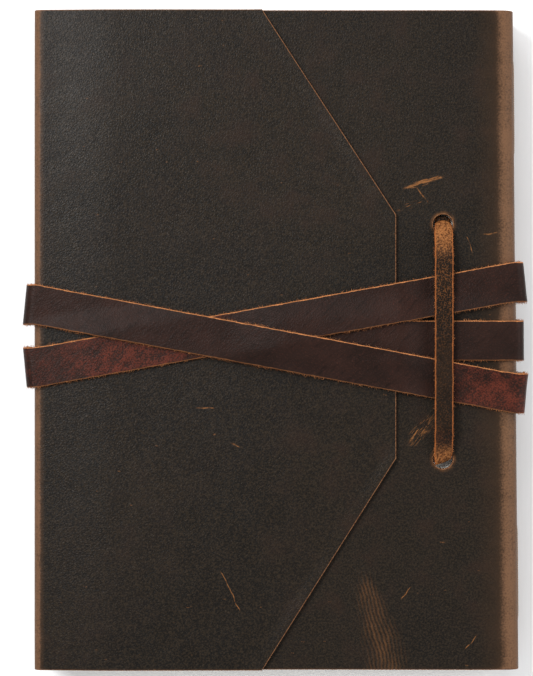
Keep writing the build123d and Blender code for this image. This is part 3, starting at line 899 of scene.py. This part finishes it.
def strap_finish(name, dark, light, rust, edge_tan):
    """Leather whose marks follow its own length. The piece's attributes say where it is red and worn, and
    how much painted highlight its cut edges get.
    """
    made = Finish(name, IOR=1.45, Specular_IOR_Level=0.1)
    place = made.attribute("place", "Vector")
    gap, flesh, red, painted_lit = (made.attribute(t) for t in ("cut_gap", "flesh", "rust", "bright_edge"))
    clouds, blots = made.noise(place, 22 * mm), made.noise(place, 4 * mm, 4.0)
    specks = made.noise(place, 0.5 * mm, 4.0)
    slanted = made.node("ShaderNodeMapping", {}, {"Vector": place, "Rotation": (0, 0, 0.75)})
    creases = made.noise(slanted, 1.3 * mm, 4.0, 0.65, (0.25, 1.5, 1.0))
    net = made.cells(place, 0.85 * mm)
    tone = made.mix(clouds.rise(0.35, 0.7), colour(*dark), colour(*light))
    speckled = 0.52 + (blots - 0.5) * 1.1 + (creases - 0.5) * 0.8 + (specks - 0.5) * 1.7
    tone = made.mix((red * speckled).rise(0.2, 1.0), tone, colour(*rust))
    tone = made.mix(specks.rise(0.48, 0.75) * 0.5, tone, colour(*(np.array(light) * 1.5)))
    tone = made.mix(creases.rise(0.5, 0.7) * 0.5, tone, colour(*(np.array(dark) * 0.5)))
    wear = made.attribute("wear")
    worn = wear + (blots - 0.5 + (specks - 0.5) * 0.8) * 0.7 * wear
    flecks = (1 - net.rise(0.0, 0.16)) * specks.rise(0.42, 0.6) * made.attribute("fleck")
    tone = made.mix(flecks * 0.75, tone, colour(108, 66, 34))
    tan = made.mix(specks.rise(0.35, 0.65), colour(80, 44, 20), colour(146, 94, 52))
    tone = made.mix(worn.rise(0.15, 0.95), tone, tan)
    nap = made.noise(place, 0.4 * mm, 4.0)
    suede = made.mix(nap.rise(0.3, 0.7), colour(78, 50, 34), colour(116, 80, 56))
    tone = made.mix(flesh.rise(0.6, 0.95), tone, suede)
    fibrous, broken = made.noise(place, 0.35 * mm, 3.0), made.noise(place, 3.5 * mm, 3.0)
    edge_brown = colour(*(np.array(edge_tan) * 0.45))
    # painted highlight: cut edges with edge light are bright tan, the others darker brown as painted shade
    cut = made.mix((fibrous * 0.6 + painted_lit * 0.4).rise(0.2, 0.8), edge_brown, colour(*edge_tan))
    frayed = 1 - (gap + (fibrous - 0.5) * (0.6 * mm) + (0.62 - broken) * (0.5 * mm)).rise(0.0, 0.2 * mm)
    wall = (1 - gap.rise(0.0, 0.05 * mm)) * 0.7
    tone = made.mix((frayed * (0.7 + painted_lit * 0.3)).high(wall), tone, cut)
    rough = 0.42 + (blots - 0.5) * 0.2 + flesh * 0.4 + frayed * 0.3 + worn * 0.3 + (0.5 - specks) * 0.15
    height = net.rise(0.0, 0.3) * 0.4 + creases * 0.9 + specks * 0.5
    normal = made.bump(height, 0.08 * mm, made.bump(blots, 0.1 * mm))
    return made.done(Base_Color=tone, Roughness=rough.low(0.95).high(0.25), Normal=normal)


strap_leather = strap_finish("strap_leather", (28, 17, 13), (40, 24, 19), (94, 41, 28), (190, 124, 76))

# %% [markdown]
# The strap is one piece, so all of it leaves with the flap that it is sewn to. A real strap is unwound
# first, and this one isn't.

# %% Make the strap


def sewn_piece(name, made, finish, marks):
    """A strap or keeper: settled like the covers, with its own marks."""
    quads, caps = strip_faces(made)
    shape = made["gap"].shape
    attributes = {"place": made["place"].reshape(-1, 3), "cut_gap": made["gap"].ravel(),
                  "flesh": made["flesh"].ravel()}
    attributes.update({title: np.broadcast_to(v, shape).ravel() for title, v in marks.items()})
    faces = quads.reshape(-1, 4).tolist() + caps
    piece = make_piece(name, settle(made["points"]), faces, finish, attributes)
    return piece


front_x = np.where(z > hinge_z, x, 0.0)
on_rising, on_falling = lap_number == 1, lap_number == 2
rust = on_rising * smooth(-front_x, -6 * mm, 34 * mm) * (1 - 0.35 * smooth(-front_x, 50 * mm, 76 * mm))
rust = rust + 0.95 * on_falling * smooth(front_x, 46 * mm, 66 * mm)
rust = rust + 0.4 * on_rising * smooth(x, 10 * mm, 40 * mm)
crossing = smooth(front_x, -30 * mm, 10 * mm) * (1 - smooth(front_x, 40 * mm, 55 * mm))
rust = rust + 0.35 * on_falling * crossing
# painted highlight: the cut edges on the head side get full edge light, those on the tail side a quarter
painted_head_edge_light = np.where(strap["place"][..., 1] < 0, 1.0, 0.25)
wrap_strap = sewn_piece("wrap_strap", strap, strap_leather,
                        {"rust": rust, "wear": 0.0, "fleck": 0.0, "bright_edge": painted_head_edge_light})
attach(wrap_strap, "flap")
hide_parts("strap_fixed_end", "strap_rising_wrap", "strap_falling_wrap",
            "strap_back_run_1", "strap_back_run_2", "strap_tail")
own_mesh(wrap_strap)

# %% [markdown]
# ## The keeper
# A narrow strap makes a closed loop through both holes: up over the wraps and back along the inside of the
# cover. It is the same kind of strip, closed on itself and carried in the (y, z) plane. It narrows where it
# turns into the holes, and it is rubbed to tan there.

# %% The keeper's loop and its finish
keeper_thick = 1.4 * mm
over_wraps = keeper_high[2] - keeper_thick / 2
inside = keeper_low[2] + keeper_thick / 2
keeper_rest = cover_top + 0.1 * mm + keeper_thick / 2


def rounded_loop(points, radii, step=0.7 * mm):
    """A closed outline of (y, z) points. Each corner is a curve (1-t)^2 a + 2t(1-t) corner + t^2 b, which
    starts and ends on the corner's two sides, as far out as a circle of its radius would."""
    points = np.array(points, float)
    parts = []
    for before, here, after, radius in zip(np.roll(points, 1, 0), points, np.roll(points, -1, 0), radii):
        a = (before - here) / np.linalg.norm(before - here)
        b = (after - here) / np.linalg.norm(after - here)
        cut = radius / np.tan(np.arccos(np.clip(a @ b, -1, 1)) / 2)
        t = np.linspace(0, 1, 8)[:, None]
        parts.append((1 - t) ** 2 * (here + a * cut) + 2 * t * (1 - t) * here + t ** 2 * (here + b * cut))
    filled = []
    for part, following in zip(parts, parts[1:] + parts[:1]):
        filled.append(part)
        count = int(np.linalg.norm(following[0] - part[-1]) / step)
        t = (np.arange(1, count) / max(count, 1))[:, None]
        filled.append(part[-1] + (following[0] - part[-1]) * t)
    return np.vstack(filled)


leg_low, leg_high = keeper_low[1] + keeper_thick / 2, keeper_high[1] - keeper_thick / 2
shoulder, slack = 10 * mm, 2.1 * mm     # length of each rising end, and the loose fold inside the head end
turn_z = (cover_top - leather) - 0.5 * mm
keeper_line = rounded_loop([
    (leg_low, inside), (leg_low, keeper_rest + 0.2 * mm), (leg_low + shoulder, over_wraps),
    (leg_high - shoulder, over_wraps), (leg_high, keeper_rest + 0.2 * mm), (leg_high, turn_z),
    (leg_high + slack, turn_z - 0.1 * mm), (leg_high + slack, inside - 0.3 * mm),
    (leg_high - 2 * mm, inside),
], np.array([0.9, 1.6, 9, 9, 1.6, 0.35, 0.25, 0.25, 2]) * mm)
keeper_path = np.stack([np.full(len(keeper_line), keeper_x), keeper_line[:, 0], keeper_line[:, 1]], -1)
in_hole = 1 - smooth(keeper_line[:, 1], cover_top - leather, cover_top + 0.3 * mm)
at_end = smooth(np.abs(keeper_line[:, 0] - (leg_low + leg_high) / 2), (leg_high - leg_low) / 2 - 2.5 * mm,
                (leg_high - leg_low) / 2)
keeper_half = (3.0 - 0.35 * at_end - 0.35 * at_end * in_hole) * mm
thin = 1 - 0.5 * smooth(keeper_line[:, 0], leg_high + 0.3 * mm, leg_high + 1.2 * mm)
keeper = strip(keeper_path, keeper_half, keeper_thick, strap_lines, lip=0.3 * mm, loop=True,
               across=(1, 0, 0), thin=thin)
roughen(keeper, (1, 0, 0), 0.06 * mm, 12)

# %% [markdown]
# Leather that goes into a round hole takes its shape: the middle of the strap stands further out than its
# edges, so its end looks arched. At the tail end the strap has slipped to one side, and its end is slanted
# as well.

# %% Arch the keeper's ends
px, py, pz = (keeper["points"][..., k] for k in range(3))
off = (px - keeper_x) / (3 * mm)
way_up = (py - leg_low) / (leg_high - leg_low)
ended = smooth(np.abs(way_up - 0.5), 0.43, 0.5)
bowed = np.where(way_up > 0.5, -1.5 * off ** 2, 0.25 * off ** 2 + 1.2 * off) * mm
keeper["points"][..., 1] += bowed * ended
keeper_leather = strap_finish("keeper_leather", (20, 14, 9), (32, 22, 14), (66, 34, 19), (170, 98, 50))
# painted shade: below the cover top the keeper gets neither worn tan nor edge light, so its ends in the holes and
# the loose fold under the head hole stay dark; above the cover its edges get a painted highlight
in_light = smooth(pz, cover_top - 1.2 * mm, cover_top - 0.2 * mm)
keeper_wear = 0.9 * smooth(way_up, 0.78, 0.98) + 0.6 * (1 - smooth(way_up, 0.02, 0.12))
keeper_loop = sewn_piece("keeper_loop", keeper, keeper_leather,
                         {"rust": 0.9 * (1 - smooth(way_up, 0.03, 0.3)), "wear": keeper_wear * in_light,
                          "fleck": 0.25 + 0.75 * smooth(way_up, 0.4, 0.8), "bright_edge": 0.7 * in_light})
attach(keeper_loop, "front_cover")
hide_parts("keeper_strap")

# %% [markdown]
# ## Paper
# Each signature is a bundle of sheets folded once and slipped into each other. A sheet is a very thin strip
# whose path comes in from the fore edge, turns round the fold and goes back out. The inner sheets reach a
# little further out at the fore edge, because the outer ones have further to go round the fold.

# %% Fold the sheets
sheets_in_bundle = 6
page_thick, page_round = 0.15 * mm, 0.05 * mm


def folded_sheet(low_x, fold_x, z_low, z_high, depth):
    """One folded sheet: two leaves joined by a half circle at the fold."""
    z0, z1 = z_low + depth, z_high - depth
    radius = (z1 - z0) / 2
    centre = (fold_x - (z_high - z_low) / 2, (z0 + z1) / 2)
    out = low_x + 0.25 * mm * (1 - depth / ((z_high - z_low) / 2))
    stops = np.array([0.0, 2, 12, 40, 90, 130])[:, None] * mm
    lower = np.hstack([out + stops, np.full_like(stops, z0)])
    upper = np.hstack([out + stops[::-1], np.full_like(stops, z1)])
    return in_space([lower, bend(centre, radius, -90, 90, 9), [[centre[0], z1]], upper])


def joined(parts):
    """Several meshes as one, from (points, marks, faces) of each: the points and marks are stacked, and a
    part's faces count on from the points before it."""
    points = [np.reshape(p, (-1, 3)) for p, _, _ in parts]
    starts = np.cumsum([0] + [len(p) for p in points]).tolist()
    faces = [[v + start for v in face] for start, part in zip(starts, parts) for face in part[2]]
    return np.vstack(points), np.concatenate([np.ravel(marks) for _, marks, _ in parts]), faces


def paper_finish():
    """Drawing paper: off-white, matt, with a fine tooth and edges that are a touch darker."""
    paper = Finish("drawing_paper", IOR=1.45, Specular_IOR_Level=0.2)
    place = paper.node("ShaderNodeTexCoord", out="Object")
    tooth, clouds = paper.noise(place, 0.5 * mm, 4.0, 0.7), paper.noise(place, 40 * mm, 3.0)
    tone = paper.mix(clouds.rise(0.3, 0.7), colour(240, 236, 224), colour(246, 243, 234))
    tone = paper.mix(tooth.rise(0.5, 0.8) * 0.15, tone, colour(222, 214, 198))
    near_cut = 1 - paper.attribute("cut_gap").rise(0.0, 1.5 * mm)
    tone = paper.mix(near_cut * 0.4, tone, colour(226, 217, 200))
    rough = 0.85 + (tooth - 0.5) * 0.1
    return paper.done(Base_Color=tone, Roughness=rough, Normal=paper.bump(tooth, 0.03 * mm))


paper = paper_finish()
page_lines = np.array([-1, -0.995, -0.9, -0.5, 0, 0.5, 0.9, 0.995, 1])
signatures = sorted(n for n in frame["nodes"] if n.startswith("signature_"))
body_of = {n: b for b, members in frame["record"]["behaviour"]["bodies"].items() for n in members}
trim = np.random.default_rng(5).normal(size=(len(signatures), sheets_in_bundle)) * 0.12 * mm
for number, node in enumerate(signatures):
    low, high = corners(node)
    sheets = []
    for n in range(sheets_in_bundle):
        depth = (n + 0.5) * (high[2] - low[2]) / (2 * sheets_in_bundle)
        path = folded_sheet(low[0], high[0], low[2], high[2], depth)
        sheet = strip(path, high[1] + trim[number, n], page_thick, page_lines, lip=page_round,
                      raw=(False, False))
        quads, caps = strip_faces(sheet)
        sheets.append((sheet["points"], sheet["gap"], quads.reshape(-1, 4).tolist() + caps))
    points, gaps, faces = joined(sheets)
    bundle = make_piece(f"paper_{node}", settle(points), faces, paper, {"cut_gap": gaps})
    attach(bundle, body_of[node])
    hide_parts(node)

# %% [markdown]
# ## Thread
# The signatures are sewn through the spine in long stitches of waxed linen, and a few stitches hold the
# strap's end and close the keeper's loop. A stitch is a tube whose radius swells twice round its turn and
# twists along its length, which is how two plies look.

# %% Twisted stitches
thread_radius = 0.3 * mm


def thread_finish():
    """Waxed linen: brown, slightly glossy, with painted shade between the plies."""
    linen = Finish("linen_thread", IOR=1.45, Specular_IOR_Level=0.35)
    place = linen.node("ShaderNodeTexCoord", out="Object")
    ply, fuzz = linen.attribute("ply"), linen.noise(place, 0.25 * mm, 3.0)
    # painted shade: the grooves between the plies are dark brown, the crests lighter
    tone = linen.mix(ply.rise(0.1, 0.8), colour(70, 48, 32), colour(150, 116, 82))
    tone = linen.mix(fuzz.rise(0.45, 0.75) * 0.4, tone, colour(176, 142, 104))
    return linen.done(Base_Color=tone, Roughness=0.6 + fuzz * 0.2, Normal=linen.bump(fuzz, 0.05 * mm))


def twisted(path, radius=thread_radius, pitch=1.3 * mm, sides=10):
    """A point of a ring is path + radius * (0.9 + 0.16 cos(2 (angle - turn))) * (cos angle, sin angle),
    where turn grows by a full circle in each pitch. The ring lies across the path's tangent."""
    path = np.asarray(path, float)
    tangent = unit(np.gradient(path, axis=0))
    flat = unit(np.cross([0.31, 0.23, 0.92], tangent))
    up = np.cross(tangent, flat)
    angle = 2 * np.pi * np.arange(sides) / sides
    ply = np.cos(2 * (angle[None] - 2 * np.pi * length_along(path)[:, None] / pitch))
    size = radius * (0.9 + 0.16 * ply)[..., None]
    ring = flat[:, None] * np.cos(angle)[:, None] + up[:, None] * np.sin(angle)[:, None]
    index = np.arange(len(path) * sides).reshape(len(path), sides)
    faces = ring_quads(index).reshape(-1, 4).tolist() + [index[0][::-1].tolist(), index[-1].tolist()]
    return path[:, None] + ring * size, 0.5 + 0.5 * ply, faces


def stitch_path(start, end, out, dip, step=0.3 * mm):
    """From under the surface at start, out through it, along to end and back in: a line lowered by
    dip * (2t - 1)^14, which is flat but for its two ends. t runs closer together near the ends."""
    start, end, out = (np.array(v, float) for v in (start, end, out))
    count = int(np.linalg.norm(end - start) / step) + 12
    t = 0.5 - 0.5 * np.cos(np.pi * np.linspace(0, 1, count))
    t = 0.5 * t + 0.5 * np.linspace(0, 1, count)
    height = -dip * np.abs(2 * t - 1) ** 14
    return start + (end - start) * t[:, None] + out * height[:, None]


def stitches(name, paths):
    """Several stitches as one piece."""
    points, plies, faces = joined([twisted(path) for path in paths])
    piece = make_piece(name, settle(points), faces, linen_thread, {"ply": plies})
    return piece


linen_thread = thread_finish()
stations = ((-95, -58), (-20, 20), (58, 95))  # where the long stitches start and end along the spine, in mm
sunk = 0.08 * mm                        # height of a stitch's middle over the leather that it presses into
for side, node in (("back", "sewing_thread_back"), ("front", "sewing_thread_front")):
    held = [corners(n) for n in signatures if (corners(n)[0][2] > hinge_z - 1 * mm) == (side == "front")]
    paths = [stitch_path((half_width + sunk, a * mm, (low[2] + high[2]) / 2),
                         (half_width + sunk, b * mm, (low[2] + high[2]) / 2), (1, 0, 0), 2.2 * mm)
             for low, high in held for a, b in stations]
    sewing = stitches(f"spine_stitches_{side}", paths)
    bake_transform(sewing)
    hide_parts(node)

join_z, join_y = keeper_low[2] - 0.1 * mm, (keeper_low[1] + keeper_high[1]) / 2
join_reach, join_gap, join_dip = 3 * mm, 2 * mm, 1.2 * mm
join_paths = [stitch_path((keeper_x + k * join_gap, join_y - join_reach, join_z),
                          (keeper_x + k * join_gap, join_y + join_reach, join_z), (0, 0, -1), join_dip)
              for k in (-1, 0, 1)]
keeper_stitches = stitches("keeper_stitches", join_paths)
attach(keeper_stitches, "front_cover")
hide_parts("keeper_stitching")

end_z, end_side = flap_top + 0.1 * mm + strap_thick - 0.15 * mm, strap_width / 2 - 2.5 * mm
end_dip = 1.2 * mm
end_paths = [stitch_path((fixed_low[0] + (2.5 + 5 * n) * mm, fixed_y + s * end_side, end_z),
                         (fixed_low[0] + (5.5 + 5 * n) * mm, fixed_y + s * end_side, end_z),
                         (0, 0, 1), end_dip)
             for s in (-1, 1) for n in range(3)]
strap_stitches = stitches("strap_stitches", end_paths)
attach(strap_stitches, "flap")
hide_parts("strap_stitching")
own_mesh(strap_stitches)

# %% [markdown]
# ## Loose fibres
# A knife-cut edge of soft leather is furry. Thousands of short hairs stand out of the strap's and the
# keeper's edges, each a three-sided tube that bends and thins to its tip. They are many, so each has only a
# few faces.

# %% Hairs along the cut edges
hair_steps, hair_sides = 4, 3           # rings along a hair, and points round each
hair_radius = 0.06 * mm
floor_gap = 0.02 * mm                   # no hair reaches lower than this


def hairs(name, made, count, seed, longest, finish):
    """Roots are picked at random along both edges of a strip, half of them in tufts. A hair's points are
    root + reach * (0.8 outward * t + lean * ahead * t^1.5 + 0.35 lean * up * t^2), and its radius shrinks
    towards its tip."""
    chance = np.random.default_rng(seed)
    rows = chance.integers(4, made["gap"].shape[0] - 4, count)
    tufts = rows[chance.integers(0, count // 12, count)]
    tufts = tufts + np.round(chance.normal(size=count) * 1.6).astype(int)
    rows = np.where(chance.random(count) < 0.5, rows, np.clip(tufts, 4, made["gap"].shape[0] - 5))
    last = made["lines"] - 1
    edge = np.where(chance.random(count) < 0.5, 0, last)
    column = np.where(edge == 0, made["gap"].shape[1] - chance.integers(1, edge_steps, count),
                      last + chance.integers(1, edge_steps, count))
    root = made["points"][rows, column]
    side = unit(made["points"][rows, edge] - made["points"][rows, last - edge])
    ahead = made["points"][rows + 1, column] - made["points"][rows - 1, column]
    ahead /= np.linalg.norm(ahead, axis=1)[:, None] + 1e-12
    up = np.cross(ahead, side)
    reach = (longest * chance.random(count) ** 2.2 + 0.15 * mm)[:, None]
    lean = chance.normal(size=(count, 2)) * 0.9
    t = np.linspace(0, 1, hair_steps)
    curve = root[:, None] + (side * reach)[:, None] * (t[:, None] * 0.8)
    curve = curve + (ahead * reach * lean[:, :1])[:, None] * (t ** 1.5)[:, None]
    curve = curve + (up * reach * lean[:, 1:] * 0.35)[:, None] * (t ** 2)[:, None]
    angle = 2 * np.pi * np.arange(hair_sides) / hair_sides
    ring = ahead[:, None] * np.cos(angle)[:, None] + up[:, None] * np.sin(angle)[:, None]
    radius = hair_radius * (1 - 0.75 * t)
    points = curve[:, :, None] + ring[:, None] * radius[:, None, None]
    points[..., 2] = np.maximum(points[..., 2], floor_gap)
    index = np.arange(count * hair_steps * hair_sides).reshape(count, hair_steps, hair_sides)
    quads = ring_quads(index).reshape(-1, 4).tolist()
    caps = index[:, 0, ::-1].tolist() + index[:, -1].tolist()
    return make_piece(name, settle(points.reshape(-1, 3)), quads + caps, finish)


def fibre_finish():
    """Tan leather fibre, from pale to rust."""
    fibre = Finish("tan_fibre", IOR=1.45, Specular_IOR_Level=0.2)
    place = fibre.node("ShaderNodeTexCoord", out="Object")
    tint = fibre.noise(place, 1.5 * mm, 3.0).rise(0.35, 0.65)
    tone = fibre.mix(tint, colour(120, 66, 36), colour(196, 130, 80))
    return fibre.done(Base_Color=tone, Roughness=0.75 + fibre.noise(place, 1 * mm) * 0.15)


tan_fibre = fibre_finish()
strap_hairs = hairs("strap_edge_fibres", strap, 8000, 21, 0.9 * mm, tan_fibre)
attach(strap_hairs, "flap")
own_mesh(strap_hairs)
keeper_hairs = hairs("keeper_edge_fibres", keeper, 900, 22, 0.7 * mm, tan_fibre)
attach(keeper_hairs, "front_cover")

# %% [markdown]
# ## Floor, light and camera
# The book lies on a plain pale floor. Dark waxed leather seen from above mirrors whatever is overhead, so
# the key light hangs well to the left and towards the head, where only the surfaces that fall away to the
# fore edge mirror it. Three weaker boxes on the other sides keep the shadows on the floor light. The camera
# looks straight down.

# %% Floor, light and camera


def floor_finish():
    """Plain matt white."""
    white = Finish("pale_floor", Specular_IOR_Level=0.1)
    place = white.node("ShaderNodeTexCoord", out="Object")
    grain = white.noise(place, 30 * mm, 2.0)
    return white.done(Base_Color=white.mix(grain, colour(240, 240, 240), colour(244, 244, 244)),
                      Roughness=0.85 + grain * 0.1)


floor_reach = 3.0                       # metres from the middle of the floor to its sides
floor_corners = [(x * floor_reach, y * floor_reach, 0) for x, y in ((-1, -1), (1, -1), (1, 1), (-1, 1))]
floor = make_piece("floor", floor_corners, [[0, 1, 2, 3]], floor_finish())
floor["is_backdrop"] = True
book_middle = np.array([0, 0, 0.02])


def soft_light(name, place, size, power):
    """A square area light at a place, turned to the middle of the book. Sizes in metres, power in watts."""
    light = bpy.data.lights.new(name, "AREA")
    light.size, light.energy = size, power
    lamp = bpy.data.objects.new(name, light)
    aim = book_middle - np.array(place)
    lamp.location = place
    lamp.rotation_euler = Vector(aim).to_track_quat("-Z", "Y").to_euler()
    bpy.context.scene.collection.objects.link(lamp)


soft_light("key_box", (-0.56, 0.36, 1.15), 0.42, 13.5)
soft_light("head_box", (-0.15, 0.95, 0.85), 0.8, 7)
soft_light("spine_box", (1.05, 0.0, 0.75), 0.9, 7.5)
soft_light("tail_box", (0.1, -1.05, 0.75), 0.9, 4)
sky_colour, sky_strength = (0.95, 0.97, 1.0, 1), 0.42
world = bpy.data.worlds.new("studio")
world.use_nodes = True
sky = world.node_tree.nodes["Background"]
sky.inputs["Color"].default_value = sky_colour
sky.inputs["Strength"].default_value = sky_strength
bpy.context.scene.world = world
bpy.context.scene.view_settings.view_transform = "Standard"

lens, sensor, view_height = 120.0, 36.0, 221.2 * mm
camera_x, camera_y = -2.95 * mm, 0.65 * mm
camera_data = bpy.data.cameras.new("camera")
camera_data.lens, camera_data.sensor_width = lens, sensor
camera = bpy.data.objects.new("camera", camera_data)
distance = view_height * lens / camera_data.sensor_width
camera.location = (camera_x, camera_y, cover_top + distance)
bpy.context.scene.collection.objects.link(camera)
bpy.context.scene.camera = camera
print("camera", round(distance, 3), "m above the cover")

# %% [markdown]
# ## The visual box
# The box round everything that the script made is printed, in mm.

# %% Print the visual box and finish
low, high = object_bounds()
print("visual box in mm:", [round(v / mm, 1) for v in (*low, *high)])
